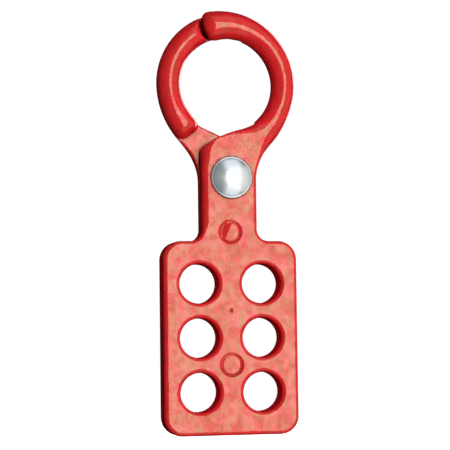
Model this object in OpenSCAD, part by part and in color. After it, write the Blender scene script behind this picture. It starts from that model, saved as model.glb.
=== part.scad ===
// Safety lockout hasp with a round jaw and six padlock holes.
//
// Two identical castings turn on one rivet. Each casting is half the thickness of the plate and
// neck, and carries one half of the jaw, whose bar is as thick as both plates together. The rear
// half is the front half turned half a turn about the long axis.
//
// Frame: origin at the centre of the jaw, in the seam plane. +Z runs up along the hasp, +X to the
// right and -Y out of the front face, all in millimetres.

/* [Jaw] */
// Inside diameter of the closed jaw
jaw_d = 25.4; // [24:0.1:27]
// Diameter of the jaw bar
bar_d = 6.9; // [6:0.1:6.9]
// Extra thickness of the bar at its nose, all on the outside
nose_swell = 1.1; // [0.4:0.1:1.6]
// Angle of the nose's tip past the top of the jaw, in degrees
nose_angle = 23.5; // [20:0.5:28]
// Gap between a nose and the shoulder of the other jaw
nose_gap = 0.4; // [0.3:0.05:0.8]

/* [Plate] */
// Width of the plate
plate_w = 37; // [36:0.5:40]
// Height of the plate
plate_h = 52.2; // [51:0.5:56]
// Radius of the plate's corners
plate_r = 5; // [3:0.5:8]
// Thickness of both halves together
total_t = 7; // [7:0.1:8]
// Gap between the two halves
seam_gap = 0.1; // [0.05:0.05:0.2]

/* [Padlock holes] */
// Diameter of a padlock hole
hole_d = 10.6; // [9.5:0.1:11]
// Distance between the two columns of holes
column_pitch = 17.2; // [16.5:0.1:18]
// Distance between the rows of holes
row_pitch = 14.6; // [14:0.1:15.5]
// Radius of a hole's rounded mouth
mouth_r = 0.95; // [0.5:0.05:1.2]

/* [Neck] */
// Width of the neck
neck_w = 15.2; // [14:0.1:16]
// Height of the jaw's centre above the rivet
jaw_rise = 26.2; // [25.5:0.1:27]
// Height of the rivet above the middle row of holes
rivet_rise = 43; // [42:0.5:45]
// Height of the neck's top edge above the rivet
neck_top = 12.1; // [11.5:0.1:12.5]
// Radius of the neck's rounded top corner
neck_corner_r = 5; // [4:0.5:6]
// Radius of the hollow curve from the neck into the jaw
flare_r = 13; // [12:0.5:15]
// Angle from upright of the straight side between that curve and the jaw
flare_lean = 42; // [40:0.5:46]
// Radius of the inside corner between neck and plate
root_r = 3.2; // [1.6:0.2:4]
// Radius round the rivet that a jaw keeps clear for the other half's neck
neck_clear_r = 16; // [15:0.5:17]

/* [Rivet] */
// Diameter of the shank
shank_d = 6.4; // [5:0.1:7]
// Radial running clearance round the shank
shank_clear = 0.05; // [0.02:0.01:0.1]
// Diameter of the domed head
head_d = 11.6; // [10:0.1:12.5]
// Height of the domed head
head_h = 2.2; // [1.5:0.1:3]
// Height of the head's straight rim
rim_h = 0.6; // [0.3:0.1:1]
// Diameter of the clinched end at the back
tail_d = 9.6; // [9:0.1:11]
// Height of the clinched end
tail_h = 1.4; // [1:0.1:2]

/* [Casting marks] */
// Diameter of the round marks on the outer face
mark_d = 6.5; // [5:0.5:7]
// Width of each mark's groove
mark_groove = 0.5; // [0.3:0.1:0.8]
// Depth of the marks and of the nick
mark_depth = 0.25; // [0.1:0.05:0.4]
// Height of the upper mark above the middle row of holes
upper_mark_rise = 28.4; // [28:0.1:29.5]

/* [Hidden] */
$fn = 96;

jaw_r = jaw_d / 2;
bar_r = bar_d / 2;
ring_r = jaw_r + bar_r;
outer_r = jaw_r + bar_d;
half_t = total_t / 2;
neck_x = neck_w / 2;
rivet_z = -jaw_rise;
mid_row_z = rivet_z - rivet_rise;
plate_top_z = mid_row_z + plate_h / 2;
neck_top_z = rivet_z + neck_top;

// The jaw's opening runs a little deeper at the bottom than the circle inside its bar.
well_drop = -jaw_r - neck_top_z;
well_r = jaw_r - 0.45 * well_drop;
well_z = neck_top_z + well_r;

// The straight side of the flare touches a circle just inside the jaw's outer one. The hollow
// curve touches that side and the side of the neck.
flat_r = outer_r - 0.2;
flare_x = neck_x + flare_r;
flare_z = (flare_x * cos(flare_lean) - flat_r - flare_r) / sin(flare_lean);
flare_foot = [flare_x, flare_z] - polar(-flare_lean, flare_r);
// The curve bites this far into both sides, so that they cross cleanly.
flare_bite = 0.03;
// The flat starts a little further round than the straight side does.
flat_start = 4;
flare_head = polar(-flare_lean - flat_start, flat_r / cos(flat_start));

// The bar runs from its foot in the neck to the lap, where its nose starts.
foot_angle = -58;
lap_angle = 90 - nose_angle;
swell_angle = lap_angle + 5;
swell_r = 0.88 * bar_r;
swell_ring_r = outer_r + nose_swell - swell_r;
swell_shift = nose_swell / sin(2 * nose_angle);
nose_ring_r = ring_r + nose_swell / 2;
tip_angle = 90 + nose_angle;
past_tip_angle = tip_angle + 5;
// The nose's plan ends in an arc about a point on the middle of its bar, this far back.
nose_end_r = 6.6;
nose_back = nose_end_r / nose_ring_r * 180 / PI;

far = 60;
coat = "#d8222c";
steel = "#c9ced2";

// Point at an angle and radius about the jaw's centre, in the plane of the hasp
function polar(angle, radius) = [radius * cos(angle), radius * sin(angle)];

// Extrudes a plan drawn in X and Z from one Y to a greater one
module slab(y_low, y_high) {
    translate([0, y_high, 0]) rotate([90, 0, 0]) linear_extrude(y_high - y_low) children();
}

// Cylinder along Y at a point of the plan
module drill(at, r, y_low, y_high) {
    translate([at[0], y_high, at[1]]) rotate([90, 0, 0]) cylinder(r = r, h = y_high - y_low);
}

// Round bar bent about the jaw's centre from one angle to a greater one
module bent_bar(major_r, minor_r, from, to) {
    rotate([90, 0, 0]) rotate([0, 0, from]) rotate_extrude(angle = to - from)
        translate([major_r, 0]) circle(minor_r);
}

module rounded_plate() {
    x = plate_w / 2 - plate_r;
    z = plate_h / 2 - plate_r;
    translate([0, mid_row_z]) {
        square([plate_w, 2 * z], center = true);
        square([2 * x, plate_h], center = true);
        for (sx = [-1, 1], sz = [-1, 1]) translate([sx * x, sz * z]) circle(plate_r);
    }
}

// Neck with its hollow corners on the plate and one rounded top corner, on the left
module neck_plan() {
    corner_z = neck_top_z - neck_corner_r;
    translate([-neck_x, plate_top_z - 1]) square([neck_w, corner_z - plate_top_z + 1]);
    translate([-neck_x + neck_corner_r, corner_z - 1])
        square([neck_w - neck_corner_r, neck_corner_r + 1]);
    translate([-neck_x + neck_corner_r, corner_z]) circle(neck_corner_r);
    difference() {
        translate([-neck_x - root_r, plate_top_z - 1]) square([neck_w + 2 * root_r, root_r + 1]);
        for (side = [-1, 1])
            translate([side * (neck_x + root_r), plate_top_z + root_r]) circle(root_r);
    }
}

// Flat that spreads from the neck into the foot of the right-hand jaw
module flare_plan() {
    difference() {
        polygon([[0, 0], flare_head, flare_foot, [flare_x, flare_z], [0, flare_z]]);
        translate([flare_x, flare_z]) circle(flare_r + flare_bite);
    }
}

// The part of the jaw past the lap's angle, or past the nose's rounded end
module past_lap_plan() {
    polygon([[0, 0], polar(lap_angle, far), polar(past_tip_angle + 5, far)]);
}

module past_nose_plan() {
    end_angle = tip_angle - nose_back;
    difference() {
        polygon([[0, 0], polar(end_angle, far), polar(past_tip_angle + 5, far)]);
        translate(polar(end_angle, nose_ring_r)) circle(nose_end_r);
    }
}

// Half of the jaw: a round bar that swells on the outside towards its nose. Past the lap only its
// front layer is left.
module jaw() {
    difference() {
        union() {
            bent_bar(ring_r, bar_r, foot_angle, past_tip_angle);
            intersection() {
                bent_bar(swell_ring_r, swell_r, swell_angle, past_tip_angle);
                slab(-half_t, -seam_gap / 2)
                    translate(polar(lap_angle + 90, swell_shift)) circle(outer_r);
            }
        }
        slab(-half_t - 1, half_t + 1) past_nose_plan();
        slab(-seam_gap / 2, half_t + 1) past_lap_plan();
    }
}

// Shallow groove and nick that casting leaves on the outer face
module casting_marks() {
    for (rise = [upper_mark_rise, -row_pitch / 2])
        difference() {
            drill([0, mid_row_z + rise], mark_d / 2, -half_t - 1, -half_t + mark_depth);
            drill([0, mid_row_z + rise], mark_d / 2 - mark_groove, -half_t - 2, -half_t + 1);
        }
    translate([0, -half_t, mid_row_z + row_pitch / 2]) rotate([0, 8, 0])
        cube([1, 2 * mark_depth, 1.9], center = true);
}

// Padlock hole with its rounded mouth in the outer face
module padlock_hole(at) {
    mouth = hole_d / 2 + mouth_r;
    translate([at[0], -half_t, at[1]]) rotate([-90, 0, 0]) rotate_extrude() {
        translate([0, -1]) square([hole_d / 2, total_t]);
        difference() {
            translate([0, -1]) square([mouth, 1 + mouth_r]);
            translate([mouth, mouth_r]) circle(mouth_r);
        }
    }
}

// One casting, as the front half: its jaw is on the right and its plate in the front layer
module casting() {
    difference() {
        union() {
            slab(-half_t, -seam_gap / 2) {
                rounded_plate();
                neck_plan();
                flare_plan();
            }
            jaw();
        }
        for (column = [-0.5, 0.5], row = [-1, 0, 1])
            padlock_hole([column * column_pitch, mid_row_z + row * row_pitch]);
        drill([0, rivet_z], shank_d / 2 + shank_clear, -half_t - 1, 1);
        drill([0, well_z], well_r, -half_t - 1, half_t + 1);
        drill([0, rivet_z], neck_clear_r, -seam_gap / 2, half_t + 1);
        drill(polar(lap_angle + nose_back, nose_ring_r), nose_end_r + nose_gap, -seam_gap / 2,
              half_t + 1);
        casting_marks();
    }
}

module front_half() {
    color(coat) casting();
}

module rear_half() {
    color(coat) rotate([0, 0, 180]) casting();
}

// Rivet with a domed head at the front and a clinched end at the back
module pivot_rivet() {
    dome_h = head_h - rim_h;
    dome_r = (pow(head_d / 2, 2) + pow(dome_h, 2)) / (2 * dome_h);
    tail_gap = seam_gap / 2;
    color(steel) translate([0, 0, rivet_z]) rotate([90, 0, 0]) {
        translate([0, 0, half_t]) cylinder(d = head_d, h = rim_h);
        intersection() {
            translate([0, 0, half_t + rim_h]) cylinder(d = head_d, h = dome_h + 1);
            translate([0, 0, half_t + head_h - dome_r]) sphere(dome_r);
        }
        translate([0, 0, -half_t - tail_gap]) cylinder(d = shank_d, h = total_t + tail_gap);
        translate([0, 0, -half_t - tail_gap - tail_h / 2]) cylinder(d = tail_d, h = tail_h / 2);
        translate([0, 0, -half_t - tail_gap - tail_h])
            cylinder(d1 = tail_d - tail_h, d2 = tail_d, h = tail_h / 2);
    }
}

front_half();
rear_half();
pivot_rivet();
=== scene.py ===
"""Looks of the lockout hasp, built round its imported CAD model.

Both castings and the rivet are replaced by finer meshes. A casting's surface is written as one
signed field in millimetres, meshed on a grid, and every point is then moved onto the field's exact
zero, so that edge radii, fillets and the marks are real geometry.
"""
import math

import bpy
import numpy as np
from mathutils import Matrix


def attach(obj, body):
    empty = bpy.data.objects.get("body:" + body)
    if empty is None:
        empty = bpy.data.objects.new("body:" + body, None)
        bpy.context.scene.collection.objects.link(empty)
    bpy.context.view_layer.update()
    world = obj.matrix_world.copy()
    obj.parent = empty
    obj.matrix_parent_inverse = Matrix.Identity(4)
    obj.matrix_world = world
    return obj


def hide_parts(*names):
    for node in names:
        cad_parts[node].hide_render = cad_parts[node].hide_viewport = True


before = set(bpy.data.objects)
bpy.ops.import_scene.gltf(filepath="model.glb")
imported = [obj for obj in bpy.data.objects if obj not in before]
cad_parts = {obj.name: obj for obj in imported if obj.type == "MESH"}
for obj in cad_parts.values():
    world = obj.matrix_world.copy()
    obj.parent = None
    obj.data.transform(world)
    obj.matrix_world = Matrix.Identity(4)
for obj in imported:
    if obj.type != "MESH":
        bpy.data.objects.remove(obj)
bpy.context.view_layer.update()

import openvdb
from mathutils import Matrix, Vector

MM = 0.001

# Sizes of the hasp in millimetres, as in the CAD
JAW_R, BAR_R = 12.7, 3.45
RING_R, OUTER_R = JAW_R + BAR_R, JAW_R + 2 * BAR_R
HALF_T, SEAM = 3.5, 0.05
PIVOT_Z, MID_ROW_Z = -26.2, -69.2
PLATE_X, PLATE_Z, PLATE_R = 18.5, 26.1, 5.0
HOLE_R, COLUMN_PITCH, ROW_PITCH = 5.3, 17.2, 14.6
NECK_X, NECK_CORNER_R, NECK_CLEAR_R = 7.6, 5.0, 16.0
FLARE_R, FLARE_LEAN, ROOT_R = 13.0, 42.0, 3.2
BORE_R, SHANK_R = 3.25, 3.2
HEAD_R, HEAD_H, TAIL_R = 5.8, 2.2, 4.8
NOSE_ANGLE, NOSE_END_R = 23.5, 6.6

# Sizes that are finer than the CAD's, or a little different from them
NECK_TOP_Z = -14.35
NOSE_GAP = 0.55
NOSE_HIGH_R, NOSE_LOW_R = 2.4, 3.4
RIM_H, DOME_R, DOME_STEP, TAIL_GAP = 0.62, 5.1, 0.12, 0.05
HEAD_OFFSET = (0.5, 0.3)

# The jaw's inside sags from one angle on, up to a few degrees short of the nose's tip
INNER_R, INNER_DROP = 12.8, 0.12
SAG_FROM, SAG_SHORT = 62.0, 8.0

# How far the two cast bars drift from a true ring: the outside's smallest radius and the angles
# it holds between, its radius at the flare, how far the nose bulges outwards and inwards, how
# steeply and how much the neck's top edge rises, and how far the jaw is drawn in near the foot
FRONT_BAR = {"thin_r": 19.3, "thin": (-12.0, 0.0), "flare_r": 20.2, "swell": 1.6, "sag": 0.45,
             "top_rise": 0.55, "top_lift": 0.0, "foot_draw": 0.0}
REAR_BAR = {"thin_r": 19.25, "thin": (-2.0, 14.0), "flare_r": 20.25, "swell": 1.0, "sag": 0.0,
            "top_rise": 0.25, "top_lift": 0.2, "foot_draw": 0.4}

# Radii of a casting's edges and hollow corners, in millimetres
EDGE_R, PLATE_EDGE_R, HOLE_EDGE_R = 0.95, 1.25, 1.12
NECK_EDGE_R, NECK_TOP_EDGE_R = 1.9, 2.8
BAR_EDGE_R, NOSE_EDGE_R = 3.35, 3.9
SEAM_EDGE_R, FLARE_SEAM_EDGE_R = 0.3, 0.75
TOP_EDGE_R, BORE_EDGE_R = 0.4, 0.2
FOOT_SIDE_R, FOOT_CREST_R, FOOT_FILLET_R = 3.0, 3.2, 0.35
POCKET_SIDE_R, POCKET_CREST_R = 0.3, 2.4

# Where a smooth change starts and where it is complete: millimetres, or degrees for the nose
ARM_GROWS = (-10.0, -1.0)
NOSE_GROWS = (20.0, 95.0)
NECK_LEFT, NECK_LOW, NECK_HIGH = (-2.0, -6.0), (-41.0, -38.0), (-14.5, -16.5)
NECK_TOP_GROWS = (-24.0, -19.0)
PLATE_LEFT = (-14.0, -16.0)
HOLE_MOUTH = (-2.4, -1.4)
BARE_RIGHT, BARE_LOW = (NECK_X, NECK_X + 2.0), (-40.0, -34.0)
BARE_FOOT = (NECK_CLEAR_R + 1.0, NECK_CLEAR_R - 0.5)
DRAW_FAR, DRAW_NEAR = (NECK_CLEAR_R + 5.0, NECK_CLEAR_R), (NECK_CLEAR_R - 3.0, NECK_CLEAR_R - 0.5)
DRAW_INSIDE = (RING_R, RING_R - 2.0)
FILLET_ENDS = (NECK_CLEAR_R + 0.8, NECK_CLEAR_R + 2.3)
CREST = (0.0, -3.0)

# The neck's top edge slopes back from the face to the seam, down to a straight line in the plan
TOP_CUT_AT, TOP_CUT_ANGLE = (2.49, -14.16), 25.7
TOP_CUT_ENDS, UNCUT = (16.5, 20.0), -3.0

# How far the bar's own body reaches in front of the seam
BAR_OVERLAP = 0.5

# The two ejector marks: a ring that is deeper on one side, round a sunken disc. Part of the upper
# mark's disc is tilted.
MARK_R, MARK_RISES = 2.85, (28.5, -7.3)
RING_WIDTH, RING_DEPTH, RING_DEEPER, RING_DEEP_TO = 0.21, 0.24, 0.14, (0.8, -0.6)
DISC_EDGE, DISC_DEPTH = (0.1, -0.3), 0.05
TILT_EDGE, TILT_SLOPE, TILT_LEAN, TILT_START = (MARK_R - 0.15, MARK_R - 0.4), 0.2, 0.45, 0.5

# The nick between the upper and middle rows of holes
NICK_ANGLE, NICK_HALF_WIDTH, NICK_HALF_LENGTH, NICK_DEPTH = 8.0, 0.42, 0.85, 0.32

# The grid's cell, the room left above the jaw for the nose, and the steps onto the exact surface
CELL, NOSE_ROOM = 0.265, 2.0
FIT_ROUNDS, FIT_STEP, FIT_REACH, LEAST_SLOPE = 3, 0.01, 0.5, 0.05
FAR = 1e9


# ---------------------------------------------------------------- plane geometry
def polar(degrees, radius):
    a = math.radians(degrees)
    return np.array([radius * math.cos(a), radius * math.sin(a)])


def angle_of(point, centre):
    return math.degrees(math.atan2(point[1] - centre[1], point[0] - centre[0]))


def circles_meet(c1, r1, c2, r2):
    """Where two circles cross, to the left of the way from c1 to c2."""
    c1, c2 = np.array(c1, float), np.array(c2, float)
    gap = np.linalg.norm(c2 - c1)
    along = (gap * gap + r1 * r1 - r2 * r2) / (2 * gap)
    out = math.sqrt(max(r1 * r1 - along * along, 0.0))
    unit = (c2 - c1) / gap
    return c1 + along * unit + out * np.array([-unit[1], unit[0]])


def grown(amount, degrees):
    """How much larger an arc is than the circle it leaves, to be amount outside it after a turn."""
    return amount / (1 - math.cos(math.radians(degrees)))


def casting_outline(bar):
    """A casting's plan, seen from its own face, as arcs (x, z, radius, from, to) joined by
    straight lines. It runs anticlockwise, so an arc that turns clockwise is a hollow one."""
    x, low, high = PLATE_X - PLATE_R, MID_ROW_Z - PLATE_Z + PLATE_R, MID_ROW_Z + PLATE_Z - PLATE_R
    root_x, root_z = NECK_X + ROOT_R, MID_ROW_Z + PLATE_Z + ROOT_R
    lean = math.radians(FLARE_LEAN)
    flare_x = NECK_X + FLARE_R
    flare_z = (flare_x * math.cos(lean) - bar["flare_r"] - FLARE_R) / math.sin(lean)

    # The bar's outside drifts outwards from its thinnest place both ways, and its inside sags
    # near the nose. Each of these arcs touches the one before it.
    tip = 90 + NOSE_ANGLE
    thin_r, (thin_from, thin_to) = bar["thin_r"], bar["thin"]
    spread = grown(bar["flare_r"] - thin_r, FLARE_LEAN + thin_from)
    swell = grown(bar["swell"], tip - thin_to)
    sag = grown(bar["sag"], tip - SAG_SHORT - SAG_FROM)
    inner_c = np.array([0, -INNER_DROP])
    spread_c, spread_r = -polar(thin_from, spread), thin_r + spread
    swell_c, swell_r = -polar(thin_to, swell), thin_r + swell
    sag_c, sag_r = inner_c + polar(SAG_FROM, sag), INNER_R - sag
    nose_ring_r = RING_R + (bar["swell"] - bar["sag"]) / 2
    end_c = polar(tip - math.degrees(NOSE_END_R / nose_ring_r), nose_ring_r)
    high_c = circles_meet(swell_c, swell_r - NOSE_HIGH_R, end_c, NOSE_END_R - NOSE_HIGH_R)
    low_c = circles_meet(sag_c, sag_r + NOSE_LOW_R, end_c, NOSE_END_R - NOSE_LOW_R)

    # The neck's straight top edge touches the jaw's circle and the neck's rounded corner.
    corner = np.array([NECK_CORNER_R - NECK_X, NECK_TOP_Z - NECK_CORNER_R])
    apart = math.degrees(math.acos(-(INNER_R + NECK_CORNER_R) / np.linalg.norm(corner - inner_c)))
    top_normal = angle_of(corner, inner_c) - apart + 360

    return [
        (-x, low, PLATE_R, 180, 270),
        (x, low, PLATE_R, 270, 360),
        (x, high, PLATE_R, 0, 90),
        (root_x, root_z, ROOT_R, 270, 180),
        (flare_x, flare_z, FLARE_R, 180, 180 - FLARE_LEAN),
        (*spread_c, spread_r, -FLARE_LEAN, thin_from),
        (0, 0, thin_r, thin_from, thin_to),
        (*swell_c, swell_r, thin_to, angle_of(high_c, swell_c)),
        (*high_c, NOSE_HIGH_R, angle_of(high_c, swell_c), angle_of(high_c, end_c)),
        (*end_c, NOSE_END_R, angle_of(high_c, end_c), angle_of(low_c, end_c) % 360),
        (*low_c, NOSE_LOW_R, angle_of(low_c, end_c) % 360, angle_of(low_c, sag_c) + 180),
        (*sag_c, sag_r, angle_of(low_c, sag_c), SAG_FROM),
        (*inner_c, INNER_R, SAG_FROM, top_normal - 180),
        (*corner, NECK_CORNER_R, top_normal, 180),
        (-root_x, root_z, ROOT_R, 0, -90),
        (-x, high, PLATE_R, 90, 180),
    ]


def arc_end(arc, which):
    """Where an arc starts (0) or ends (1)."""
    return np.array(arc[:2]) + polar(arc[3 + which], arc[2])


def outline_distance(outline, x, z):
    """Signed distance to an outline, negative inside it."""
    best = np.full(x.shape, FAR)
    for i, arc in enumerate(outline):
        cx, cz, r, a0, a1 = arc
        turn_sign = 1 if a1 > a0 else -1
        phi = (np.degrees(np.arctan2(z - cz, x - cx)) - min(a0, a1)) % 360
        d = turn_sign * (np.hypot(x - cx, z - cz) - r)
        d = np.where(phi <= abs(a1 - a0), d, FAR)
        best = np.where(np.abs(d) < np.abs(best), d, best)
        p, q = arc_end(arc, 1), arc_end(outline[(i + 1) % len(outline)], 0)
        length = float(np.linalg.norm(q - p))
        if length < 1e-6:
            continue
        ux, uz = (q - p) / length
        along = (x - p[0]) * ux + (z - p[1]) * uz
        side = (x - p[0]) * uz - (z - p[1]) * ux
        past = along - np.clip(along, 0, length)
        d = np.where(side < 0, -1, 1) * np.hypot(side, past)
        best = np.where(np.abs(d) < np.abs(best), d, best)
    return best


def fade_in(value, change):
    """0 up to where a change starts and 1 from where it is complete, either way along value."""
    start, full = change
    t = np.clip((value - start) / (full - start), 0, 1)
    return t * t * (3 - 2 * t)


def between(a, b, t):
    return a + (b - a) * t


# ---------------------------------------------------------------- a casting as a field
def rounded_both(a, b, r):
    """Where both fields are negative, with an edge of radius r between their surfaces."""
    return np.minimum(np.maximum(a, b), -r) + np.hypot(np.maximum(a + r, 0), np.maximum(b + r, 0))


def hollow_either(a, b, r):
    """Where either field is negative, with a hollow corner of radius r between their surfaces."""
    return np.maximum(np.minimum(a, b), r) - np.hypot(np.maximum(r - a, 0), np.maximum(r - b, 0))


def hole_field(x, z):
    """How far a point is inside the nearest of the six holes."""
    deepest = np.full(x.shape, -FAR)
    for side in (-0.5, 0.5):
        for row in (-1, 0, 1):
            away = np.hypot(x - side * COLUMN_PITCH, z - MID_ROW_Z - row * ROW_PITCH)
            deepest = np.maximum(deepest, HOLE_R - away)
    return deepest


def bar_edge_radius(x, z):
    """The bar is rounded all over, and more so at the thicker nose."""
    nose = fade_in(np.degrees(np.arctan2(z, x)), NOSE_GROWS)
    return between(BAR_EDGE_R, NOSE_EDGE_R, nose)


def face_edge_radius(x, z, hole, bar_edge, arm):
    """The face's edge is rounder down the left of the neck and plate, and round the holes. Along
    the arm it grows to the bar's own."""
    neck = fade_in(x, NECK_LEFT) * fade_in(z, NECK_LOW) * fade_in(z, NECK_HIGH)
    neck_edge = between(NECK_EDGE_R, NECK_TOP_EDGE_R, fade_in(z, NECK_TOP_GROWS))
    edge = EDGE_R + (neck_edge - EDGE_R) * neck + (PLATE_EDGE_R - EDGE_R) * fade_in(x, PLATE_LEFT)
    edge = edge + (HOLE_EDGE_R - EDGE_R) * fade_in(hole, HOLE_MOUTH)
    return between(edge, bar_edge, arm)


def seam_edge_radius(x, z, from_pivot):
    """The flare's inner edge is softer where the other half leaves it bare, up to the foot."""
    bare = fade_in(x, BARE_RIGHT) * fade_in(z, BARE_LOW) * fade_in(from_pivot, BARE_FOOT)
    return between(SEAM_EDGE_R, FLARE_SEAM_EDGE_R, bare)


def mark_depth(x, z):
    """Depth of the two ejector marks and the nick."""
    depth = np.zeros_like(x)
    for rise in MARK_RISES:
        dx, dz = x, z - MID_ROW_Z - rise
        off = np.hypot(dx, dz) - MARK_R
        lean = 0.5 + 0.5 * (RING_DEEP_TO[0] * dx + RING_DEEP_TO[1] * dz) / MARK_R
        ring = np.exp(-((off / RING_WIDTH) ** 2))
        depth = depth + ring * (RING_DEPTH + RING_DEEPER * np.clip(lean, 0, 1))
        depth = depth + fade_in(off, DISC_EDGE) * DISC_DEPTH
    dx, dz = x, z - MID_ROW_Z - MARK_RISES[0]
    inside = fade_in(np.hypot(dx, dz), TILT_EDGE)
    depth = depth + inside * TILT_SLOPE * np.maximum(TILT_LEAN * dz - dx - TILT_START, 0)
    a = math.radians(NICK_ANGLE)
    dx, dz = x, z - MID_ROW_Z - ROW_PITCH / 2
    across, along = dx * math.cos(a) - dz * math.sin(a), dx * math.sin(a) + dz * math.cos(a)
    nick = fade_in(np.abs(across), (NICK_HALF_WIDTH, 0))
    nick = nick * fade_in(np.abs(along), (NICK_HALF_LENGTH, 0))
    return depth + NICK_DEPTH * nick


def top_cut(x, z, from_pivot):
    """How far a point is above the neck's top edge. The cut ends where the bar begins."""
    a = math.radians(TOP_CUT_ANGLE)
    above = (z - TOP_CUT_AT[1]) * math.cos(a) - (x - TOP_CUT_AT[0]) * math.sin(a)
    return between(above, UNCUT, fade_in(from_pivot, TOP_CUT_ENDS))


def plan_fields(outline, facing, bar, x, z):
    """What a casting's field needs to know about a point of its plan, seen from its own face.
    facing is the other casting's outline."""
    hole = hole_field(x, z)
    own = np.maximum(outline_distance(outline, x, z), hole)
    other = outline_distance(facing, -x, z)
    from_pivot = np.hypot(x, z - PIVOT_Z)
    arm = fade_in((x + z) / math.sqrt(2), ARM_GROWS)
    bar_edge = bar_edge_radius(x, z)
    edge = face_edge_radius(x, z, hole, bar_edge, arm)
    seam_edge = seam_edge_radius(x, z, from_pivot)
    face = between(-HALF_T, -BAR_R, arm) + mark_depth(x, z)

    # The jaw's inside is drawn in a little near the bar's foot.
    near_foot = fade_in(from_pivot, DRAW_FAR) * fade_in(from_pivot, DRAW_NEAR)
    own = own + bar["foot_draw"] * near_foot * fade_in(np.hypot(x, z), DRAW_INSIDE)
    return own, other, from_pivot, edge, seam_edge, bar_edge, face, top_cut(x, z, from_pivot)


def casting_field(plan, y, z, bar):
    """Signed field of a casting, in millimetres. y runs from its face towards the seam."""
    own, other, from_pivot, edge, seam_edge, bar_edge, face, cut = plan
    layer = rounded_both(own, face - y, edge)
    layer = rounded_both(layer, cut - bar["top_lift"] + bar["top_rise"] * (y + SEAM), TOP_EDGE_R)
    layer = rounded_both(layer, y + SEAM, seam_edge)
    layer = rounded_both(layer, BORE_R - from_pivot, BORE_EDGE_R)

    # The rest of the bar stands behind the seam, between the neck's clearance and the pocket
    # that the other half's nose lies in.
    behind = own + np.maximum(-SEAM - y, 0)
    body = rounded_both(behind, np.abs(y) - BAR_R, bar_edge)
    crest = fade_in(own, CREST)
    foot_r = between(FOOT_SIDE_R, FOOT_CREST_R, crest)
    pocket_r = between(POCKET_SIDE_R, POCKET_CREST_R, crest)
    body = rounded_both(body, NECK_CLEAR_R - from_pivot, foot_r)
    body = rounded_both(body, NOSE_GAP - other, pocket_r)
    body = np.maximum(body, np.maximum(-BAR_OVERLAP - y, PIVOT_Z - z))
    fillet = FOOT_FILLET_R * (1 - fade_in(from_pivot, FILLET_ENDS))
    return hollow_either(layer, body, fillet)


def casting_mesh(bar, facing_bar):
    """Points and quads of a casting in millimetres, seen from its own face."""
    outline, facing = casting_outline(bar), casting_outline(facing_bar)
    pad = 3 * CELL
    low = np.array([-PLATE_X, -HALF_T, MID_ROW_Z - PLATE_Z]) - pad
    high = np.array([OUTER_R, HALF_T, OUTER_R + NOSE_ROOM]) + pad
    xs, ys, zs = (np.arange(a, b, CELL) for a, b in zip(low, high))
    gx, gz = np.meshgrid(xs, zs, indexing="ij")
    plan = [p[:, None, :].astype(np.float32) for p in plan_fields(outline, facing, bar, gx, gz)]
    field = casting_field(plan, ys[None, :, None].astype(np.float32), zs[None, None, :], bar)
    grid = openvdb.FloatGrid(background=float(pad))
    grid.copyFromArray(field.astype(np.float32))
    points, quads = grid.convertToQuads(0.0)
    points = points.astype(float) * CELL + low

    for _ in range(FIT_ROUNDS):
        x, y, z = points.T

        def at(dx, dy, dz):
            moved = plan_fields(outline, facing, bar, x + dx, z + dz)
            return casting_field(moved, y + dy, z + dz, bar)

        value = at(0, 0, 0)
        slope = np.stack([at(FIT_STEP, 0, 0) - at(-FIT_STEP, 0, 0),
                          at(0, FIT_STEP, 0) - at(0, -FIT_STEP, 0),
                          at(0, 0, FIT_STEP) - at(0, 0, -FIT_STEP)], 1) / (2 * FIT_STEP)
        move = (value / np.maximum((slope ** 2).sum(1), LEAST_SLOPE))[:, None] * slope
        reach = np.linalg.norm(move, axis=1)[:, None]
        points -= move * np.minimum(1, FIT_REACH * CELL / np.maximum(reach, 1e-9))
    return points, quads


def mesh_object(name, points, faces):
    mesh = bpy.data.meshes.new(name)
    mesh.from_pydata([tuple(p) for p in points], [], [tuple(int(i) for i in f) for f in faces])
    mesh.validate()
    mesh.update()
    mesh.shade_smooth()
    obj = bpy.data.objects.new(name, mesh)
    bpy.context.scene.collection.objects.link(obj)
    return obj


# ---------------------------------------------------------------- the rivet
RIVET_SIDES, DOME_RINGS = 128, 20

# Where the head's underside ends, small enough to stay over the shank although the head is set
# off it, and the height that the shank begins at
UNDERSIDE_R, SHANK_FROM = 2.6, -0.25

# (how far inside the head's edge, height above its rim), from the dome's foot to the underside
LIP = [(0.63, 0.05), (0.53, 0.02), (0.4, -0.02), (0.27, -0.08), (0.14, -0.18), (0.04, -0.32),
       (0.0, -0.44), (0.04, -0.52), (0.14, -0.6), (0.3, -0.62)]

# (how far inside the tail's edge, how far behind the rear face), from the face to its middle
TAIL = [(0.3, 0.0), (0.08, 0.06), (0.0, 0.2), (0.0, 0.62), (0.08, 0.85), (0.3, 1.08),
        (0.7, 1.28), (1.2, 1.38), (1.7, 1.4), (2.2, 1.36), (2.6, 1.24), (3.1, 1.1),
        (3.8, 1.02), (TAIL_R, 1.0)]


def rivet_profile():
    """(radius, height above the plate's face) from the middle of the head to that of the tail."""
    rise = HEAD_H - RIM_H - DOME_STEP
    sphere_r = (DOME_R ** 2 + rise ** 2) / (2 * rise)
    dome = [(r, HEAD_H - sphere_r + math.sqrt(sphere_r ** 2 - r * r))
            for r in np.linspace(0, DOME_R, DOME_RINGS)]
    lip = [(HEAD_R - inset, RIM_H + height) for inset, height in LIP]
    back = -2 * HALF_T - TAIL_GAP
    shank = [(UNDERSIDE_R, 0.0), (SHANK_R, SHANK_FROM), (SHANK_R, back)]
    return dome + lip + shank + [(TAIL_R - inset, back - depth) for inset, depth in TAIL]


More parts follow.
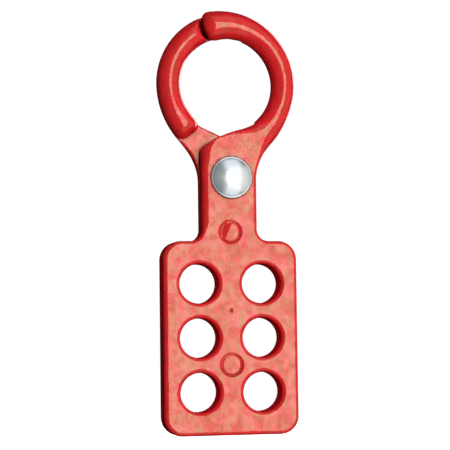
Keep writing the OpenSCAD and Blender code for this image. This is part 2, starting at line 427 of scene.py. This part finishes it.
def turned(name, profile, sides):
    """A profile turned about Y, with its height 0 on the plate's front face. What stands in front
    of that face, the head, is set a little off the shank."""
    points, faces, rings = [], [], []
    for r, h in profile:
        count = 1 if r == 0 else sides
        rings.append((len(points), count))
        right, up = HEAD_OFFSET if h >= 0 else (0, 0)
        for k in range(count):
            a = 2 * math.pi * k / sides
            points.append((right + r * math.cos(a), -HALF_T - h, PIVOT_Z + up + r * math.sin(a)))
    for (a, na), (b, nb) in zip(rings, rings[1:]):
        for k in range(sides):
            m = (k + 1) % sides
            corners = [b + k % nb, b + m % nb, a + m % na, a + k % na]
            faces.append(list(dict.fromkeys(corners)))
    return mesh_object(name, points, faces)


# ---------------------------------------------------------------- materials
def new_material(name):
    material = bpy.data.materials.new(name)
    material.use_nodes = True
    nodes, links = material.node_tree.nodes, material.node_tree.links
    return material, nodes, links, nodes["Principled BSDF"]


def noise(nodes, links, coord, scale, detail=2.0, roughness=0.5, distortion=0.0):
    node = nodes.new("ShaderNodeTexNoise")
    node.inputs["Scale"].default_value = scale
    node.inputs["Detail"].default_value = detail
    node.inputs["Roughness"].default_value = roughness
    node.inputs["Distortion"].default_value = distortion
    links.new(coord, node.inputs["Vector"])
    return node.outputs["Fac"]


def ramp(nodes, links, value, low, high):
    """A colour or grey that runs from low to high, each a (place, value)."""
    node = nodes.new("ShaderNodeValToRGB")
    for element, (place, shown) in zip(node.color_ramp.elements, (low, high)):
        element.position = place
        element.color = (*shown, 1) if isinstance(shown, tuple) else (shown, shown, shown, 1)
    links.new(value, node.inputs["Fac"])
    return node.outputs["Color"]


def bump(nodes, links, height, distance, normal=None):
    node = nodes.new("ShaderNodeBump")
    node.inputs["Strength"].default_value = 1.0
    node.inputs["Distance"].default_value = distance
    links.new(height, node.inputs["Height"])
    if normal is not None:
        links.new(normal, node.inputs["Normal"])
    return node.outputs["Normal"]


# Painted shade in corners and gaps: how far the ambient-occlusion darkening reaches, its samples,
# and its ramp from dark to open
PAINTED_SHADE_REACH, PAINTED_SHADE_SAMPLES = 0.0018, 8
PAINTED_SHADE_DARK, PAINTED_SHADE_OPEN = (0.45, 0.12), (0.95, 1.0)


def painted_crevice_shade(nodes, links):
    """Painted shade: 1 on open faces, and darker in corners and gaps narrower than the reach, where
    shade falls.
    """
    shade = nodes.new("ShaderNodeAmbientOcclusion")
    shade.samples = PAINTED_SHADE_SAMPLES
    shade.inputs["Distance"].default_value = PAINTED_SHADE_REACH
    return ramp(nodes, links, shade.outputs["AO"], PAINTED_SHADE_DARK, PAINTED_SHADE_OPEN)


def product(nodes, links, a, b):
    node = nodes.new("ShaderNodeVectorMath")
    node.operation = "MULTIPLY"
    links.new(a, node.inputs[0])
    links.new(b, node.inputs[1])
    return node.outputs["Vector"]


PAINT_LIGHT, PAINT_DARK = (0.42, (0.69, 0.011, 0.017)), (0.58, (0.55, 0.009, 0.013))
SHEEN_WARM, SHEEN_GREEN = (0.42, (1.0, 0.80, 0.72)), (0.58, (0.60, 1.0, 0.56))
SHEEN_WEAK, SHEEN_STRONG = (0.36, 0.32), (0.66, 0.70)
PAINT_SMOOTH, PAINT_ROUGH = (0.3, 0.09), (0.75, 0.15)
PAINT_IOR = 1.5
STREAK_LENGTHWISE = 0.32
WAVE_HEIGHT, PEEL_HEIGHT = 0.00004, 0.00001


def coating_material():
    """Glossy red paint. Its sheen is broken up by fine streaks that run along the hasp."""
    material, nodes, links, shader = new_material("red_coating")
    coord = nodes.new("ShaderNodeTexCoord").outputs["Object"]
    along = nodes.new("ShaderNodeMapping")
    along.inputs["Scale"].default_value = (1.0, 1.0, STREAK_LENGTHWISE)
    links.new(coord, along.inputs["Vector"])
    streak = noise(nodes, links, along.outputs["Vector"], scale=850.0, detail=4.0,
                   roughness=0.62, distortion=0.5)
    cloud = noise(nodes, links, coord, scale=420.0, detail=4.0, roughness=0.65, distortion=0.4)
    gloss = noise(nodes, links, coord, scale=420.0, roughness=0.6)
    waves = noise(nodes, links, coord, scale=330.0)
    peel = noise(nodes, links, coord, scale=1100.0, detail=1.0)
    # Painted shade: the paint's colour and its sheen are both darkened in corners and gaps
    shade = painted_crevice_shade(nodes, links)
    paint = ramp(nodes, links, streak, PAINT_LIGHT, PAINT_DARK)
    sheen = ramp(nodes, links, cloud, SHEEN_WEAK, SHEEN_STRONG)
    links.new(product(nodes, links, paint, shade), shader.inputs["Base Color"])
    links.new(product(nodes, links, sheen, shade), shader.inputs["Specular IOR Level"])
    links.new(ramp(nodes, links, streak, SHEEN_WARM, SHEEN_GREEN), shader.inputs["Specular Tint"])
    links.new(ramp(nodes, links, gloss, PAINT_SMOOTH, PAINT_ROUGH), shader.inputs["Roughness"])
    normal = bump(nodes, links, peel, PEEL_HEIGHT, bump(nodes, links, waves, WAVE_HEIGHT))
    links.new(normal, shader.inputs["Normal"])
    shader.inputs["IOR"].default_value = PAINT_IOR
    return material


STEEL_BLUE, STEEL_WARM = (0.35, (0.74, 0.82, 0.88)), (0.65, (0.93, 0.95, 0.91))
STEEL_SMOOTH, STEEL_ROUGH = (0.3, 0.27), (0.7, 0.30)
STEEL_GRAIN_HEIGHT = 0.000015


def steel_material():
    """Zinc-plated steel with a faintly uneven tone and a fine grain."""
    material, nodes, links, shader = new_material("zinc_plated_steel")
    coord = nodes.new("ShaderNodeTexCoord").outputs["Object"]
    tone = noise(nodes, links, coord, scale=160.0)
    gloss = noise(nodes, links, coord, scale=600.0, roughness=0.6)
    grain = noise(nodes, links, coord, scale=300.0, detail=1.0, roughness=0.4)
    links.new(ramp(nodes, links, tone, STEEL_BLUE, STEEL_WARM), shader.inputs["Base Color"])
    links.new(ramp(nodes, links, gloss, STEEL_SMOOTH, STEEL_ROUGH), shader.inputs["Roughness"])
    links.new(bump(nodes, links, grain, STEEL_GRAIN_HEIGHT), shader.inputs["Normal"])
    shader.inputs["Metallic"].default_value = 1.0
    return material


def floor_material():
    material, _, _, shader = new_material("pale_floor")
    shader.inputs["Base Color"].default_value = (0.9, 0.9, 0.9, 1)
    shader.inputs["Roughness"].default_value = 0.9
    shader.inputs["Specular IOR Level"].default_value = 0.0
    shader.inputs["Emission Color"].default_value = (1, 1, 1, 1)
    shader.inputs["Emission Strength"].default_value = 0.9
    return material


# ---------------------------------------------------------------- camera, lights, floor
VIEW_YAW, VIEW_PITCH, VIEW_ROLL = 12.4, 4.1, 0.75
LENS, SENSOR_WIDTH = 120.0, 36.0
CLIP = (0.01, 50.0)
# The camera's place in its own axes, from the middle row of holes: right, up and back
CAMERA_OFFSET = (-1.062, 30.55, 406.4)

# In metres, where the lights point, and the floor's height and half its side
LIGHTS_AIM = (0, 0, -0.045)
FLOOR_Z, FLOOR_HALF = -0.17, 30

# How far the upper and lower boxes are turned from the key box, in degrees
BOX_TILT = 46

# What the camera sees of the room, how bright it is from the front, and how fast it darkens
# towards the back
ROOM_SEEN, ROOM_LEVEL, ROOM_FALLOFF = 1.05, 0.38, 1.7


def turn(degrees, axis):
    return Matrix.Rotation(math.radians(degrees), 3, axis)


def camera_axes():
    """Columns are the camera's right, up and back directions."""
    upright = Matrix(((1, 0, 0), (0, 0, -1), (0, 1, 0)))
    view = turn(VIEW_ROLL, "Z") @ turn(-VIEW_PITCH, "X") @ turn(VIEW_YAW, "Y")
    return upright @ view.transposed()


def make_camera():
    data = bpy.data.cameras.new("camera")
    data.lens, data.sensor_width = LENS, SENSOR_WIDTH
    data.clip_start, data.clip_end = CLIP
    camera = bpy.data.objects.new("camera", data)
    bpy.context.scene.collection.objects.link(camera)
    axes = camera_axes()
    place = Vector((0, 0, MID_ROW_Z * MM)) + axes @ (Vector(CAMERA_OFFSET) * MM)
    camera.matrix_world = Matrix.Translation(place) @ axes.to_4x4()
    bpy.context.scene.camera = camera
    return camera


def soft_box(name, direction, distance, size, radiance, in_gloss=True):
    """A rectangular light, size wide and high, that looks at LIGHTS_AIM from a direction. Without
    in_gloss it isn't mirrored in glossy surfaces."""
    width, height = size
    data = bpy.data.lights.new(name, "AREA")
    data.shape = "RECTANGLE"
    data.size, data.size_y = width, height
    data.energy = radiance * math.pi * width * height
    light = bpy.data.objects.new(name, data)
    direction = Vector(direction).normalized()
    light.rotation_euler = direction.to_track_quat("Z", "Y").to_euler()
    light.location = Vector(LIGHTS_AIM) + direction * distance
    light.visible_camera = False
    light.visible_glossy = in_gloss
    bpy.context.scene.collection.objects.link(light)


def make_lights(camera):
    """The key box stands where the plate's face mirrors it to the camera."""
    to_camera = (camera.location - Vector(LIGHTS_AIM)).normalized()
    mirrored = Vector((-to_camera.x, to_camera.y, -to_camera.z))
    raised, lowered = turn(-BOX_TILT, "X") @ mirrored, turn(BOX_TILT, "X") @ mirrored
    soft_box("key_box", mirrored, distance=0.9, size=(0.42, 0.56), radiance=6.0)
    soft_box("fill_box", mirrored, distance=1.0, size=(0.7, 0.7), radiance=1.45, in_gloss=False)
    soft_box("upper_box", raised, distance=0.9, size=(0.8, 0.7), radiance=0.75)
    soft_box("lower_box", lowered, distance=0.9, size=(0.8, 0.7), radiance=0.75)
    soft_box("right_box", (0.85, -0.5, 0.0), distance=1.2, size=(1.3, 1.7), radiance=0.5)
    soft_box("back_box", (0.75, 0.75, 0.3), distance=1.1, size=(0.7, 0.9), radiance=3.0)
    soft_box("back_fill", (-0.15, 1.0, 0.45), distance=1.2, size=(1.0, 0.9), radiance=3.0,
             in_gloss=False)


def make_world():
    """The camera sees white. The hasp sees a room that is lighter in front than behind."""
    world = bpy.data.worlds.new("studio")
    bpy.context.scene.world = world
    world.use_nodes = True
    nodes, links = world.node_tree.nodes, world.node_tree.links
    nodes.clear()
    seen, room = nodes.new("ShaderNodeBackground"), nodes.new("ShaderNodeBackground")
    seen.inputs["Color"].default_value = (1, 1, 1, 1)
    seen.inputs["Strength"].default_value = ROOM_SEEN
    room.inputs["Color"].default_value = (1, 1, 1, 1)
    split = nodes.new("ShaderNodeSeparateXYZ")
    links.new(nodes.new("ShaderNodeTexCoord").outputs["Generated"], split.inputs["Vector"])
    front = nodes.new("ShaderNodeMapRange")
    front.inputs["From Min"].default_value = -1.0
    front.inputs["From Max"].default_value = 1.0
    front.inputs["To Min"].default_value = 1.0
    front.inputs["To Max"].default_value = 0.0
    links.new(split.outputs["Y"], front.inputs["Value"])
    bend = nodes.new("ShaderNodeMath")
    bend.operation = "POWER"
    bend.inputs[1].default_value = ROOM_FALLOFF
    links.new(front.outputs["Result"], bend.inputs[0])
    level = nodes.new("ShaderNodeMath")
    level.operation = "MULTIPLY"
    level.inputs[1].default_value = ROOM_LEVEL
    links.new(bend.outputs["Value"], level.inputs[0])
    links.new(level.outputs["Value"], room.inputs["Strength"])
    mix = nodes.new("ShaderNodeMixShader")
    links.new(nodes.new("ShaderNodeLightPath").outputs["Is Camera Ray"], mix.inputs["Fac"])
    links.new(room.outputs["Background"], mix.inputs[1])
    links.new(seen.outputs["Background"], mix.inputs[2])
    out = nodes.new("ShaderNodeOutputWorld")
    links.new(mix.outputs["Shader"], out.inputs["Surface"])


def make_floor():
    corners = [(x * FLOOR_HALF, y * FLOOR_HALF, FLOOR_Z)
               for x, y in ((-1, -1), (1, -1), (1, 1), (-1, 1))]
    floor = mesh_object("floor", corners, [(0, 1, 2, 3)])
    floor.data.materials.append(floor_material())
    floor.visible_glossy = False
    floor.visible_diffuse = False


# ---------------------------------------------------------------- the scene
bpy.context.scene.view_settings.view_transform = "Standard"
coating, steel = coating_material(), steel_material()

points, quads = casting_mesh(FRONT_BAR, REAR_BAR)
front_casting = mesh_object("front_casting", points * MM, quads)
points, quads = casting_mesh(REAR_BAR, FRONT_BAR)
rear_casting = mesh_object("rear_casting", points * MM * (-1, -1, 1), quads)
rivet = turned("rivet", rivet_profile(), RIVET_SIDES)
rivet.data.transform(Matrix.Scale(MM, 4))

for piece, body, node, slot, material in (
        (front_casting, "front", "front_half", "coating", coating),
        (rear_casting, "rear", "rear_half", "coating", coating),
        (rivet, "front", "pivot_rivet", "rivet", steel)):
    piece.data.materials.append(material)
    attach(piece, body)
    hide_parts(node)

make_lights(make_camera())
make_world()
make_floor()
